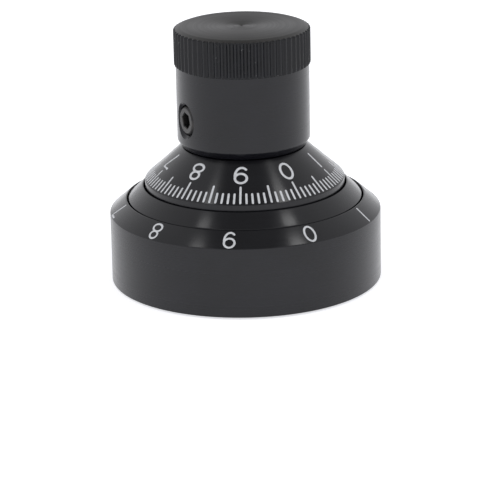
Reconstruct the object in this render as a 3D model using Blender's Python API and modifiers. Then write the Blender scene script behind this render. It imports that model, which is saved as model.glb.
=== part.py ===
"""A concentric-scale turns-counting dial for a quarter-inch control shaft.

The knob turns the inner dial directly.  An eccentric on its sleeve swings a wobble gear round
inside a ring gear with four more teeth, so the outer dial moves one digit for each whole turn.

Frame: +Z away from the panel, the panel's face at z = 0, the axis of rotation on Z.
The index line's side of the dial is +Y.
"""

import math

import bmesh
import bpy
from mathutils import Matrix, Vector

MM = 0.001
INCH = 25.4 * MM

# ---------------------------------------------------------------- driving dimensions
OUTER_RADIUS = 23.0 * MM          # turns dial, the widest piece
KNOB_TOP = 43.8 * MM              # overall height
SHAFT_RADIUS = 0.25 * INCH / 2    # the control's shaft
BUSHING_RADIUS = 0.375 * INCH / 2  # the control's threaded bushing

# the dials' cones: how far each runs inwards and rises, from the outside in
TURNS_CONE = (2.92 * MM, 2.3 * MM)
INDEX_CONE = (2.88 * MM, 2.24 * MM)
SKIRT_CONE_RISE = 5.75 * MM
SKIRT_RIM = 1.01 * MM             # the inner dial's upright rim above the index ring
SKIRT_SHOULDER = 0.1 * MM         # flat top of the inner dial round the knob's foot
LIP_LAND = 0.2 * MM               # flat on the edges beside the gaps

# clearances
RUNNING = 0.28 * MM               # between pieces that turn past each other
SEAT = 0.12 * MM                  # between pieces that are fixed together
SLIDE = 0.15 * MM                 # close running fit, such as a journal in its bush
PANEL_GAP = 0.3 * MM              # under the turning dial
SHAFT_CLEARANCE = 0.03 * MM

# knob
FOOT_WALL = 5.48 * MM             # round the sleeve, where the knob stands on the inner dial
FOOT_HEIGHT = 1.3 * MM           # of the taper from the foot to the barrel
BARREL_STEP = 0.8 * MM            # the barrel's overhang beyond the foot
KNURL_STEP = 0.26 * MM            # the crests' height above the barrel
KNURL_HEIGHT = 6.4 * MM
KNURL_COUNT = 64
KNURL_DEPTH = 0.38 * MM
KNURL_OVERLAP = 0.02 * MM         # the flutes' roots below the cylinder they are joined to
KNURL_SETBACK = 0.1 * MM          # the flutes' ends above the step
KNOB_BEVEL_WIDTH = 1.1 * MM
KNOB_BEVEL_DROP = 0.4 * MM
KNOB_CAP = 7.5 * MM               # solid metal above the sleeve

# set screws, in the knob's side
SET_SCREW_RADIUS = 0.19 * INCH / 2
SET_SCREW_RISE = 4.25 * MM        # above the barrel's lower edge
SET_SCREW_RECESS = 0.3 * MM       # below the barrel's surface
SET_SCREW_SOCKET = 2.4 * MM       # across flats
SET_SCREW_SOCKET_DEPTH = 2.4 * MM
SET_SCREW_TIP = 0.5 * MM          # bevel at the end on the shaft
SET_SCREW_EDGE = 0.2 * MM         # bevel at the socket end
SET_SCREW_ANGLES = (-160.0, -70.0)  # degrees from -Y towards +X
COUNTERSINK = 0.3 * MM            # how much wider the hole's mouth is
COUNTERSINK_SAG = 0.3 * MM        # the barrel's curve across the mouth

# drive sleeve and its eccentric
SLEEVE_WALL = 1.595 * MM
SLEEVE_CAP = 1.4 * MM             # closed end above the shaft's bore
BUSHING_REACH = 4.2 * MM          # room for the bushing above the base plate
ECCENTRIC_WALL = 0.9 * MM

# gears
WOBBLE_TEETH = 36
RING_TEETH = 40
RING_WALL = 4.1 * MM              # from the ring gear's pitch circle out to the dial's counterbore
PRESSURE_ANGLE = math.radians(25.0)
ADDENDUM = 0.55                   # of the module
DEDENDUM = 0.75                   # of the module
BACKLASH = 0.16 * MM              # taken off each tooth's thickness
GEAR_RISE = 0.4 * MM              # above the sleeve's lower end
GEAR_THICKNESS = 2.6 * MM
GEAR_BUSH_WALL = 0.8 * MM
GEAR_BUSH_SETBACK = 0.2 * MM      # below the gear's upper face

# base plate, nut and pillars
BASE_THICKNESS = 2.0 * MM
BASE_RIM_WALL = 1.9 * MM
BASE_RIM_GAP = 0.38 * MM          # under the retaining ring
NUT_WALL = 2.04 * MM
NUT_THICKNESS = 2.4 * MM
NUT_SLOT_WIDTH = 1.6 * MM
PILLAR_COUNT = 4
PILLAR_FIRST_ANGLE = 45.0
PILLAR_PIN_RADIUS = 1.3 * MM
PILLAR_FLANGE = 1.3 * MM          # how much wider the pillar's foot is than its pin
PIN_HOLE_CLEARANCE = 0.2 * MM

# turns dial
DIAL_WALL = 1.9 * MM              # outside the ring gear
DIAL_DEPTH = 2.9 * MM             # from the gears' upper face to the start of the cone
RETAINER_THICKNESS = 0.8 * MM
RETAINER_WIDTH = 2.6 * MM

# index ring
WEB_GAP = 0.4 * MM                # above the gears
WEB_THICKNESS = 1.7 * MM
BOSS_WALL = 1.7 * MM
BOSS_HEIGHT = 5.4 * MM
HUB_BUSH_WALL = 1.0 * MM

# inner dial
SKIRT_GAP = 0.7 * MM              # above the index ring's web
SKIRT_WALL = 1.4 * MM
SKIRT_WEB = 2.0 * MM

# snap ring and thrust washer above the hub bush
WASHER_WIDTH = 2.28 * MM
WASHER_THICKNESS = 0.4 * MM
SNAP_WIDTH = 2.08 * MM
SNAP_THICKNESS = 0.8 * MM
SNAP_GROOVE_DEPTH = 0.6 * MM
SNAP_GAP = 3.2 * MM

# small screws: thread radius, head radius, length
PILLAR_SCREW = (1.0 * MM, 1.9 * MM, 4.4 * MM)
INDEX_SCREW = (0.8 * MM, 1.5 * MM, 4.2 * MM)
SKIRT_SCREW = (1.0 * MM, 1.8 * MM, 5.2 * MM)
SCREW_HOLE_DEPTH = 0.3 * MM       # past a screw's tip
SCREW_HEAD_SINK = 0.05 * MM       # of a countersunk head below its face
SKIRT_SCREW_COUNT = 3
SKIRT_SCREW_FIRST_ANGLE = 11.0
SKIRT_SCREW_HEAD = 1.2 * MM
DRIVE_SLOT_WIDTH = 0.5 * MM
DRIVE_SLOT_DEPTH = 0.4 * MM

FINE = 64                         # segments of the large turned pieces
MEDIUM = 32
SMALL = 12
SHARP_ANGLE = math.radians(30.0)
PAST = 1.0 * MM                   # how far a cutter reaches beyond what it cuts

# ---------------------------------------------------------------- radii that follow from them
COUNTERBORE_RADIUS = OUTER_RADIUS - DIAL_WALL
TURNS_LIP_RADIUS = OUTER_RADIUS - TURNS_CONE[0]
INDEX_OUTER_RADIUS = TURNS_LIP_RADIUS - RUNNING
INDEX_LIP_RADIUS = TURNS_LIP_RADIUS - INDEX_CONE[0]
SKIRT_RADIUS = INDEX_LIP_RADIUS - RUNNING
BASE_RADIUS = COUNTERBORE_RADIUS - RUNNING
RING_RADIUS = COUNTERBORE_RADIUS - SEAT

MODULE = 2 * (COUNTERBORE_RADIUS - RING_WALL) / RING_TEETH
ECCENTRICITY = (RING_TEETH - WOBBLE_TEETH) * MODULE / 2
SHAFT_BORE = SHAFT_RADIUS + SHAFT_CLEARANCE
SLEEVE_RADIUS = SHAFT_BORE + SLEEVE_WALL
ECCENTRIC_RADIUS = ECCENTRICITY + SHAFT_BORE + ECCENTRIC_WALL
GEAR_BUSH_INNER = ECCENTRIC_RADIUS + SLIDE
GEAR_BUSH_OUTER = GEAR_BUSH_INNER + GEAR_BUSH_WALL
GEAR_BORE = GEAR_BUSH_OUTER + SEAT
GEAR_ROOT = WOBBLE_TEETH * MODULE / 2 - DEDENDUM * MODULE
PILLAR_CIRCLE = (GEAR_BORE + GEAR_ROOT) / 2
PILLAR_RADIUS = PILLAR_PIN_RADIUS + PILLAR_FLANGE
PIN_HOLE_RADIUS = PILLAR_PIN_RADIUS + ECCENTRICITY + PIN_HOLE_CLEARANCE
NUT_RADIUS = BUSHING_RADIUS + NUT_WALL

HUB_BUSH_INNER = SLEEVE_RADIUS + SLIDE
HUB_BUSH_OUTER = HUB_BUSH_INNER + HUB_BUSH_WALL
BOSS_BORE = HUB_BUSH_OUTER + SEAT
BOSS_RADIUS = BOSS_BORE + BOSS_WALL
KNOB_BORE = SLEEVE_RADIUS + SEAT
FOOT_RADIUS = KNOB_BORE + FOOT_WALL
BARREL_RADIUS = FOOT_RADIUS + BARREL_STEP
KNURL_RADIUS = BARREL_RADIUS + KNURL_STEP
SKIRT_TOP_RADIUS = FOOT_RADIUS + SKIRT_SHOULDER
SKIRT_SCREW_CIRCLE = (KNOB_BORE + FOOT_RADIUS) / 2

# ---------------------------------------------------------------- heights that follow from them
SLEEVE_BOTTOM = BASE_THICKNESS + BUSHING_REACH
GEAR_BOTTOM = SLEEVE_BOTTOM + GEAR_RISE
GEAR_TOP = GEAR_BOTTOM + GEAR_THICKNESS
GEAR_BUSH_TOP = GEAR_TOP - GEAR_BUSH_SETBACK
JOURNAL_BOTTOM = GEAR_BUSH_TOP + RUNNING
PILLAR_SHOULDER = GEAR_BOTTOM - RUNNING
RETAINER_TOP = GEAR_BOTTOM - SEAT
BASE_RIM_TOP = RETAINER_TOP - RETAINER_THICKNESS - BASE_RIM_GAP
RING_SHOULDER = GEAR_TOP + SEAT
WEB_BOTTOM = GEAR_TOP + WEB_GAP
WEB_TOP = WEB_BOTTOM + WEB_THICKNESS
ECCENTRIC_TOP = WEB_BOTTOM - SLIDE
BOSS_TOP = WEB_BOTTOM + BOSS_HEIGHT
WASHER_BOTTOM = BOSS_TOP + RUNNING
SNAP_BOTTOM = WASHER_BOTTOM + WASHER_THICKNESS + RUNNING
CYLINDER_TOP = GEAR_TOP + DIAL_DEPTH
TURNS_LIP_HEIGHT = CYLINDER_TOP + TURNS_CONE[1]
INDEX_LIP_HEIGHT = TURNS_LIP_HEIGHT + INDEX_CONE[1]
SKIRT_RIM_HEIGHT = INDEX_LIP_HEIGHT + SKIRT_RIM
SKIRT_TOP = SKIRT_RIM_HEIGHT + SKIRT_CONE_RISE
SKIRT_BOTTOM = WEB_TOP + SKIRT_GAP
SKIRT_WEB_BOTTOM = SKIRT_TOP - SKIRT_WEB
KNOB_BOTTOM = SKIRT_TOP + SEAT
BARREL_BOTTOM = SKIRT_TOP + FOOT_HEIGHT
SET_SCREW_HEIGHT = BARREL_BOTTOM + SET_SCREW_RISE
KNURL_BOTTOM = KNOB_TOP - KNURL_HEIGHT
SLEEVE_TOP = KNOB_TOP - KNOB_CAP
SHAFT_BORE_TOP = SLEEVE_TOP - SLEEVE_CAP


# ---------------------------------------------------------------- scene and helpers
def clear_scene():
    for thing in list(bpy.data.objects):
        bpy.data.objects.remove(thing, do_unlink=True)


def new_collection(name):
    collection = bpy.data.collections.new(name)
    bpy.context.scene.collection.children.link(collection)
    return collection


def new_material(name, colour, roughness, metallic):
    material = bpy.data.materials.new(name)
    material.use_nodes = True
    shader = material.node_tree.nodes["Principled BSDF"]
    shader.inputs["Base Color"].default_value = (*colour, 1.0)
    shader.inputs["Roughness"].default_value = roughness
    shader.inputs["Metallic"].default_value = metallic
    material.diffuse_color = (*colour, 1.0)
    return material


def add_object(name, mesh, collection, material=None):
    thing = bpy.data.objects.new(name, mesh)
    collection.objects.link(thing)
    if material:
        mesh.materials.append(material)
    return thing


def profile_mesh(name, points):
    """An outline in the XZ half plane, open where it meets the axis and closed elsewhere."""
    mesh = bpy.data.meshes.new(name)
    vertices = [(radius, 0.0, height) for radius, height in points]
    edges = [(i, i + 1) for i in range(len(points) - 1)]
    if points[0][0] > 0.0:
        edges.append((len(points) - 1, 0))
    mesh.from_pydata(vertices, edges, [])
    return mesh


def turned(name, points, collection, material, segments=FINE):
    """A turned piece: the outline runs down the outer side, then up the bore."""
    thing = add_object(name, profile_mesh(name, points), collection, material)
    screw = thing.modifiers.new("turn", "SCREW")
    screw.steps = segments
    screw.render_steps = segments
    screw.use_merge_vertices = True
    screw.merge_threshold = 1e-6
    screw.use_smooth_shade = True
    return thing


def ring_outline(inner, outer, bottom, top):
    """The outline of a plain ring, starting at the outer top edge."""
    return [(outer, top), (outer, bottom), (inner, bottom), (inner, top)]


def extruded(name, outline, bottom, top, collection, material=None):
    """A flat outline, counter-clockwise seen from above, given a thickness."""
    shape = bmesh.new()
    lower = [shape.verts.new((x, y, bottom)) for x, y in outline]
    face = shape.faces.new(lower)
    grown = bmesh.ops.extrude_face_region(shape, geom=[face])
    upper = [item for item in grown["geom"] if isinstance(item, bmesh.types.BMVert)]
    bmesh.ops.translate(shape, verts=upper, vec=(0.0, 0.0, top - bottom))
    bmesh.ops.recalc_face_normals(shape, faces=shape.faces)
    mesh = bpy.data.meshes.new(name)
    shape.to_mesh(mesh)
    shape.free()
    return add_object(name, mesh, collection, material)


def hide_cutter(thing):
    thing.hide_render = True
    thing.display_type = "WIRE"


def cut(thing, cutter, operation="DIFFERENCE"):
    boolean = thing.modifiers.new(cutter.name, "BOOLEAN")
    boolean.operation = operation
    boolean.object = cutter
    boolean.solver = "EXACT"


def on_circle(radius, degrees):
    """A point on a circle, the angle counted from -Y towards +X."""
    angle = math.radians(degrees)
    return Vector((radius * math.sin(angle), -radius * math.cos(angle), 0.0))


def cylinder_cutter(name, radius, bottom, top, centre, segments=SMALL):
    shape = bmesh.new()
    bmesh.ops.create_cone(shape, cap_ends=True, segments=segments, radius1=radius, radius2=radius,
                          depth=top - bottom)
    mesh = bpy.data.meshes.new(name)
    shape.to_mesh(mesh)
    shape.free()
    thing = add_object(name, mesh, cutters)
    thing.location = (centre[0], centre[1], (top + bottom) / 2)
    hide_cutter(thing)
    return thing


def box_cutter(name, size, centre, turn=0.0):
    shape = bmesh.new()
    bmesh.ops.create_cube(shape, size=1.0)
    bmesh.ops.scale(shape, verts=shape.verts, vec=size)
    mesh = bpy.data.meshes.new(name)
    shape.to_mesh(mesh)
    shape.free()
    thing = add_object(name, mesh, cutters)
    thing.location = centre
    thing.rotation_euler = (0.0, 0.0, turn)
    hide_cutter(thing)
    return thing


def turned_cutter(name, points, segments=SMALL, centre=(0.0, 0.0, 0.0)):
    thing = turned(name, points, cutters, None, segments)
    thing.location = centre
    hide_cutter(thing)
    return thing


def radial_frame(degrees, height):
    """A frame whose +Z points out of the dial's side and whose origin is on the axis."""
    outward = on_circle(1.0, degrees)
    sideways = Vector((0.0, 0.0, 1.0)).cross(outward)
    turn = Matrix((sideways, outward.cross(sideways), outward)).transposed().to_4x4()
    return Matrix.Translation((0.0, 0.0, height)) @ turn


# ---------------------------------------------------------------- gears
def involute_half_angle(radius, pitch_radius, half_tooth_at_pitch):
    """Half of a tooth's angle at a radius, for a tooth that narrows outwards."""
    base_radius = pitch_radius * math.cos(PRESSURE_ANGLE)
    local = math.acos(min(1.0, base_radius / radius))
    grown = (math.tan(local) - local) - (math.tan(PRESSURE_ANGLE) - PRESSURE_ANGLE)
    return half_tooth_at_pitch - grown


def gear_outline(teeth, root_radius, tip_radius, thinning, flank_steps=3):
    """An involute outline, counter-clockwise, with a tooth centred on +X."""
    pitch_radius = teeth * MODULE / 2
    pitch_angle = 2 * math.pi / teeth
    half_tooth = pitch_angle / 4 - thinning / 2 / pitch_radius
    outline = []
    for tooth in range(teeth):
        centre = tooth * pitch_angle
        flank = []
        for step in range(flank_steps):
            radius = root_radius + (tip_radius - root_radius) * step / (flank_steps - 1)
            flank.append((radius, involute_half_angle(radius, pitch_radius, half_tooth)))
        outline += [polar(radius, centre - half) for radius, half in flank]
        outline += [polar(radius, centre + half) for radius, half in reversed(flank)]
    return outline


def polar(radius, angle):
    return radius * math.cos(angle), radius * math.sin(angle)


def build_gears():
    """The wobble gear rolls inside the ring gear, one tooth of it centred in a space on +X."""
    wobble_pitch = WOBBLE_TEETH * MODULE / 2
    outline = gear_outline(WOBBLE_TEETH, GEAR_ROOT, wobble_pitch + ADDENDUM * MODULE, BACKLASH)
    gear = extruded("wobble_gear", outline, GEAR_BOTTOM, GEAR_TOP, parts, acetal)
    cut(gear, cylinder_cutter("cut_gear_bore", GEAR_BORE, GEAR_BOTTOM - PAST, GEAR_TOP + PAST,
                              (0.0, 0.0), MEDIUM))
    for number in range(PILLAR_COUNT):
        centre = on_circle(PILLAR_CIRCLE, pillar_angle(number))
        cutter = cylinder_cutter(f"cut_pin_hole_{number + 1}", PIN_HOLE_RADIUS, GEAR_BOTTOM - PAST,
                                 GEAR_TOP + PAST, centre, 24)
        cutter.parent = wobble_axis
        cut(gear, cutter)
    gear.parent = wobble_axis
    bpy.data.objects["cut_gear_bore"].parent = wobble_axis

    bush = turned("gear_bush", ring_outline(GEAR_BUSH_INNER, GEAR_BUSH_OUTER, GEAR_BOTTOM,
                                            GEAR_BUSH_TOP), parts, bronze, MEDIUM)
    bush.parent = wobble_axis

    # the ring gear's spaces have the form of an external gear's teeth
    ring_pitch = RING_TEETH * MODULE / 2
    ring = turned("ring_gear", ring_outline(ring_pitch - ADDENDUM * MODULE, RING_RADIUS, GEAR_BOTTOM,
                                            GEAR_TOP), parts, brass)
    spaces = gear_outline(RING_TEETH, ring_pitch - (ADDENDUM + 0.4) * MODULE,
                          ring_pitch + DEDENDUM * MODULE, -BACKLASH)
    cutter = extruded("cut_ring_spaces", spaces, GEAR_BOTTOM - PAST, GEAR_TOP + PAST, cutters)
    hide_cutter(cutter)
    cut(ring, cutter)
    ring.parent = turns_axis


# ---------------------------------------------------------------- base, pillars and index ring
def pillar_angle(number):
    return PILLAR_FIRST_ANGLE + number * 360.0 / PILLAR_COUNT


def build_base():
    base = turned("base_plate", [
        (BASE_RADIUS, BASE_RIM_TOP),
        (BASE_RADIUS, 0.0),
        (BUSHING_RADIUS + SEAT, 0.0),
        (BUSHING_RADIUS + SEAT, BASE_THICKNESS),
        (BASE_RADIUS - BASE_RIM_WALL, BASE_THICKNESS),
        (BASE_RADIUS - BASE_RIM_WALL, BASE_RIM_TOP),
    ], parts, dark_zinc)
    thread, head, _ = PILLAR_SCREW
    for number in range(PILLAR_COUNT):
        centre = on_circle(PILLAR_CIRCLE, pillar_angle(number))
        cut(base, screw_cutter(f"cut_base_hole_{number + 1}", thread, head, centre, -1.0,
                               0.0, BASE_THICKNESS))

    nut_bottom = BASE_THICKNESS + SEAT
    nut = turned("panel_nut", ring_outline(BUSHING_RADIUS + SEAT, NUT_RADIUS, nut_bottom,
                                           nut_bottom + NUT_THICKNESS), parts, zinc, MEDIUM)
    slot_depth = NUT_THICKNESS / 2
    for number in range(2):
        size = (NUT_SLOT_WIDTH, 3 * NUT_RADIUS, slot_depth * 2)
        cut(nut, box_cutter(f"cut_nut_slot_{number + 1}", size,
                            (0.0, 0.0, nut_bottom + NUT_THICKNESS), number * math.pi / 2))


def screw_cutter(name, thread, head, centre, head_side, head_face, far_face):
    """The hole for a countersunk screw; head_side is +1 where the head is on top."""
    clear_thread = thread + SEAT
    clear_head = head + SEAT
    sink = clear_head - clear_thread
    past = PAST * head_side
    points = [
        (0.0, head_face + past),
        (clear_head, head_face + past),
        (clear_head, head_face),
        (clear_thread, head_face - head_side * sink),
        (clear_thread, far_face - past),
        (0.0, far_face - past),
    ]
    if head_side < 0:
        points.reverse()
    return turned_cutter(name, points, SMALL, (centre[0], centre[1], 0.0))


def countersunk_screw(name, size, centre, head_side, head_face):
    """A slotted countersunk screw whose head is flush with head_face."""
    thread, head, length = size
    sink = head - thread
    tip = head_face - head_side * length
    face = head_face - head_side * SCREW_HEAD_SINK
    points = [
        (0.0, face),
        (head, face),
        (thread, face - head_side * sink),
        (thread, tip),
        (0.0, tip),
    ]
    if head_side < 0:
        points.reverse()
    screw = turned(name, points, parts, steel, SMALL)
    screw.location = (centre[0], centre[1], 0.0)
    slot = box_cutter(f"cut_slot_{name}", (3 * head, DRIVE_SLOT_WIDTH, 2 * DRIVE_SLOT_DEPTH),
                      (centre[0], centre[1], face), math.atan2(centre[1], centre[0]))
    cut(screw, slot)
    return screw


def build_pillars():
    """Each pillar seats the gear on its shoulder, and its pin stands in one of the gear's holes."""
    pin_top = WEB_BOTTOM - SEAT
    foot = BASE_THICKNESS + SEAT
    lower_thread, _, lower_length = PILLAR_SCREW
    upper_thread, _, upper_length = INDEX_SCREW
    lower_hole = lower_thread + SEAT
    upper_hole = upper_thread + SEAT
    lower_hole_top = lower_length + SCREW_HOLE_DEPTH
    upper_hole_bottom = WEB_TOP - upper_length - SCREW_HOLE_DEPTH
    for number in range(PILLAR_COUNT):
        centre = on_circle(PILLAR_CIRCLE, pillar_angle(number))
        pillar = turned(f"pillar_{number + 1}", [
            (0.0, upper_hole_bottom),
            (upper_hole, upper_hole_bottom),
            (upper_hole, pin_top),
            (PILLAR_PIN_RADIUS, pin_top),
            (PILLAR_PIN_RADIUS, PILLAR_SHOULDER),
            (PILLAR_RADIUS, PILLAR_SHOULDER),
            (PILLAR_RADIUS, foot),
            (lower_hole, foot),
            (lower_hole, lower_hole_top),
            (0.0, lower_hole_top),
        ], parts, steel, SMALL)
        pillar.location = centre
        countersunk_screw(f"pillar_screw_{number + 1}", PILLAR_SCREW, centre, -1.0, 0.0)
        countersunk_screw(f"index_screw_{number + 1}", INDEX_SCREW, centre, 1.0, WEB_TOP)


def build_index_ring():
    ring = turned("index_ring", [
        (INDEX_LIP_RADIUS + LIP_LAND, INDEX_LIP_HEIGHT),
        (INDEX_OUTER_RADIUS, TURNS_LIP_HEIGHT),
        (INDEX_OUTER_RADIUS, WEB_BOTTOM),
        (BOSS_BORE, WEB_BOTTOM),
        (BOSS_BORE, BOSS_TOP),
        (BOSS_RADIUS, BOSS_TOP),
        (BOSS_RADIUS, WEB_TOP),
        (INDEX_LIP_RADIUS, WEB_TOP),
        (INDEX_LIP_RADIUS, INDEX_LIP_HEIGHT),
    ], parts, black_anodised)
    thread, head, _ = INDEX_SCREW
    for number in range(PILLAR_COUNT):
        centre = on_circle(PILLAR_CIRCLE, pillar_angle(number))
        cut(ring, screw_cutter(f"cut_index_hole_{number + 1}", thread, head, centre, 1.0,
                               WEB_TOP, WEB_BOTTOM))
    turned("hub_bush", ring_outline(HUB_BUSH_INNER, HUB_BUSH_OUTER, WEB_BOTTOM + SEAT, BOSS_TOP),
           parts, bronze, MEDIUM)


# ---------------------------------------------------------------- outer dial
def build_turns_dial():
    dial = turned("turns_dial", [
        (TURNS_LIP_RADIUS + LIP_LAND, TURNS_LIP_HEIGHT),
        (OUTER_RADIUS, CYLINDER_TOP),
        (OUTER_RADIUS, PANEL_GAP),
        (COUNTERBORE_RADIUS, PANEL_GAP),
        (COUNTERBORE_RADIUS, RING_SHOULDER),
        (TURNS_LIP_RADIUS, RING_SHOULDER),
        (TURNS_LIP_RADIUS, TURNS_LIP_HEIGHT),
    ], parts, black_anodised)
    dial.parent = turns_axis
    retainer = turned("retaining_ring", ring_outline(RING_RADIUS - RETAINER_WIDTH, RING_RADIUS,
                                                     RETAINER_TOP - RETAINER_THICKNESS,
                                                     RETAINER_TOP), parts, steel)
    retainer.parent = turns_axis


# ---------------------------------------------------------------- drive sleeve
def build_drive_sleeve():
    groove = SLEEVE_RADIUS - SNAP_GROOVE_DEPTH
    groove_bottom = SNAP_BOTTOM - SEAT
    groove_top = SNAP_BOTTOM + SNAP_THICKNESS + SEAT
    sleeve = turned("drive_sleeve", [
        (0.0, SLEEVE_TOP),
        (SLEEVE_RADIUS - SEAT * 3, SLEEVE_TOP),
        (SLEEVE_RADIUS, SLEEVE_TOP - SEAT * 3),
        (SLEEVE_RADIUS, groove_top),
        (groove, groove_top),
        (groove, groove_bottom),
        (SLEEVE_RADIUS, groove_bottom),
        (SLEEVE_RADIUS, JOURNAL_BOTTOM),
        (0.0, JOURNAL_BOTTOM),
    ], parts, brass, MEDIUM)
    eccentric = cylinder_cutter("join_eccentric", ECCENTRIC_RADIUS, SLEEVE_BOTTOM, ECCENTRIC_TOP,
                                (ECCENTRICITY, 0.0), MEDIUM)
    cut(sleeve, eccentric, "UNION")
    cut(sleeve, cylinder_cutter("cut_shaft_bore", SHAFT_BORE, SLEEVE_BOTTOM - PAST, SHAFT_BORE_TOP,
                                (0.0, 0.0), MEDIUM))
    for number, degrees in enumerate(SET_SCREW_ANGLES):
        cut(sleeve, radial_cutter(f"cut_sleeve_screw_{number + 1}", degrees,
                                  [(SET_SCREW_RADIUS + SEAT, 0.0),
                                   (SET_SCREW_RADIUS + SEAT, 2 * SLEEVE_RADIUS)]))
    sleeve.parent = knob_axis

    snap_inner = groove + SEAT
    snap_outer = snap_inner + SNAP_WIDTH
    snap = turned("snap_ring", ring_outline(snap_inner, snap_outer, SNAP_BOTTOM,
                                            SNAP_BOTTOM + SNAP_THICKNESS), parts, steel, MEDIUM)
    cut(snap, box_cutter("cut_snap_gap", (SNAP_GAP, snap_outer, 4 * SNAP_THICKNESS),
                         (0.0, snap_outer, SNAP_BOTTOM)))
    snap.parent = knob_axis

    washer_inner = SLEEVE_RADIUS + SEAT
    washer = turned("thrust_washer", ring_outline(washer_inner, washer_inner + WASHER_WIDTH,
                                                  WASHER_BOTTOM, WASHER_BOTTOM + WASHER_THICKNESS),
                    parts, steel, MEDIUM)
    washer.parent = knob_axis


def radial_cutter(name, degrees, outline):
    """A cutter turned about a line that runs out of the dial's side; outline is radius, reach."""
    near = outline[0][1]
    far = outline[-1][1]
    points = [(0.0, far)] + list(reversed(outline)) + [(0.0, near)]
    thing = turned(name, points, cutters, None, 24)
    thing.matrix_world = radial_frame(degrees, SET_SCREW_HEIGHT)
    hide_cutter(thing)
    return thing


# ---------------------------------------------------------------- knob and inner dial
def build_knob():
    top = KNOB_TOP
    band_top = KNOB_TOP - KNOB_BEVEL_DROP
    bore_top = SLEEVE_TOP + SEAT
    knob = turned("knob", [
        (0.0, top),
        (KNURL_RADIUS - KNOB_BEVEL_WIDTH, top),
        (KNURL_RADIUS - KNURL_DEPTH, band_top),
        (KNURL_RADIUS - KNURL_DEPTH, KNURL_BOTTOM),
        (BARREL_RADIUS, KNURL_BOTTOM),
        (BARREL_RADIUS, BARREL_BOTTOM),
        (FOOT_RADIUS, KNOB_BOTTOM),
        (KNOB_BORE, KNOB_BOTTOM),
        (KNOB_BORE, bore_top),
        (0.0, bore_top),
    ], parts, black_anodised, 64)
    outline = []
    for flute in range(KNURL_COUNT):
        centre = 2 * math.pi * flute / KNURL_COUNT
        half = math.pi / KNURL_COUNT
        outline.append(polar(KNURL_RADIUS - KNURL_DEPTH - KNURL_OVERLAP, centre - half))
        outline.append(polar(KNURL_RADIUS, centre))
    band = extruded("join_knurl", outline, KNURL_BOTTOM + KNURL_SETBACK, band_top,
                    cutters)
    hide_cutter(band)
    cut(knob, band, "UNION")
    hole = SET_SCREW_RADIUS + SEAT
    mouth = BARREL_RADIUS - COUNTERSINK_SAG - COUNTERSINK
    for number, degrees in enumerate(SET_SCREW_ANGLES):
        cut(knob, radial_cutter(f"cut_knob_screw_{number + 1}", degrees, [
            (hole, SHAFT_RADIUS),
            (hole, mouth),
            (hole + COUNTERSINK + PAST, mouth + COUNTERSINK + PAST),
        ]))
    thread, _, length = SKIRT_SCREW
    for number in range(SKIRT_SCREW_COUNT):
        centre = on_circle(SKIRT_SCREW_CIRCLE, skirt_screw_angle(number))
        cut(knob, cylinder_cutter(f"cut_knob_tap_{number + 1}", thread + SEAT, KNOB_BOTTOM - PAST,
                                  SKIRT_WEB_BOTTOM + length + SCREW_HOLE_DEPTH, centre))
    knob.parent = knob_axis


def skirt_screw_angle(number):
    return number * 360.0 / SKIRT_SCREW_COUNT + SKIRT_SCREW_FIRST_ANGLE


def build_inner_dial():
    rim_in = SKIRT_RADIUS - SKIRT_WALL
    slope = (SKIRT_TOP - SKIRT_RIM_HEIGHT) / (SKIRT_RADIUS - SKIRT_TOP_RADIUS)
    cone_out = SKIRT_RADIUS - (SKIRT_WEB_BOTTOM - SKIRT_RIM_HEIGHT) / slope
    cone_in = cone_out - SKIRT_WALL * math.hypot(1.0, slope) / slope
    dial = turned("inner_dial", [
        (SKIRT_TOP_RADIUS, SKIRT_TOP),
        (SKIRT_RADIUS, SKIRT_RIM_HEIGHT),
        (SKIRT_RADIUS, SKIRT_BOTTOM),
        (rim_in, SKIRT_BOTTOM),
        (rim_in, SKIRT_RIM_HEIGHT - SKIRT_WALL * (math.hypot(1.0, slope) - slope)),
        (cone_in, SKIRT_WEB_BOTTOM),
        (SLEEVE_RADIUS + SEAT, SKIRT_WEB_BOTTOM),
        (SLEEVE_RADIUS + SEAT, SKIRT_TOP),
    ], parts, black_anodised)
    thread, head, length = SKIRT_SCREW
    for number in range(SKIRT_SCREW_COUNT):
        centre = on_circle(SKIRT_SCREW_CIRCLE, skirt_screw_angle(number))
        cut(dial, cylinder_cutter(f"cut_dial_hole_{number + 1}", thread + SEAT, SKIRT_WEB_BOTTOM - PAST,
                                  SKIRT_TOP + PAST, centre))
        head_top = SKIRT_WEB_BOTTOM - SEAT
        screw = turned(f"dial_screw_{number + 1}", [
            (0.0, SKIRT_WEB_BOTTOM + length),
            (thread, SKIRT_WEB_BOTTOM + length),
            (thread, head_top),
            (head, head_top),
            (head, head_top - SKIRT_SCREW_HEAD),
            (0.0, head_top - SKIRT_SCREW_HEAD),
        ], parts, steel, SMALL)
        screw.location = centre
        slot = box_cutter(f"cut_slot_dial_screw_{number + 1}",
                          (3 * head, DRIVE_SLOT_WIDTH, 2 * DRIVE_SLOT_DEPTH),
                          (centre[0], centre[1], head_top - SKIRT_SCREW_HEAD),
                          math.atan2(centre[1], centre[0]))
        cut(screw, slot)
        screw.parent = knob_axis
    dial.parent = knob_axis


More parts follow.
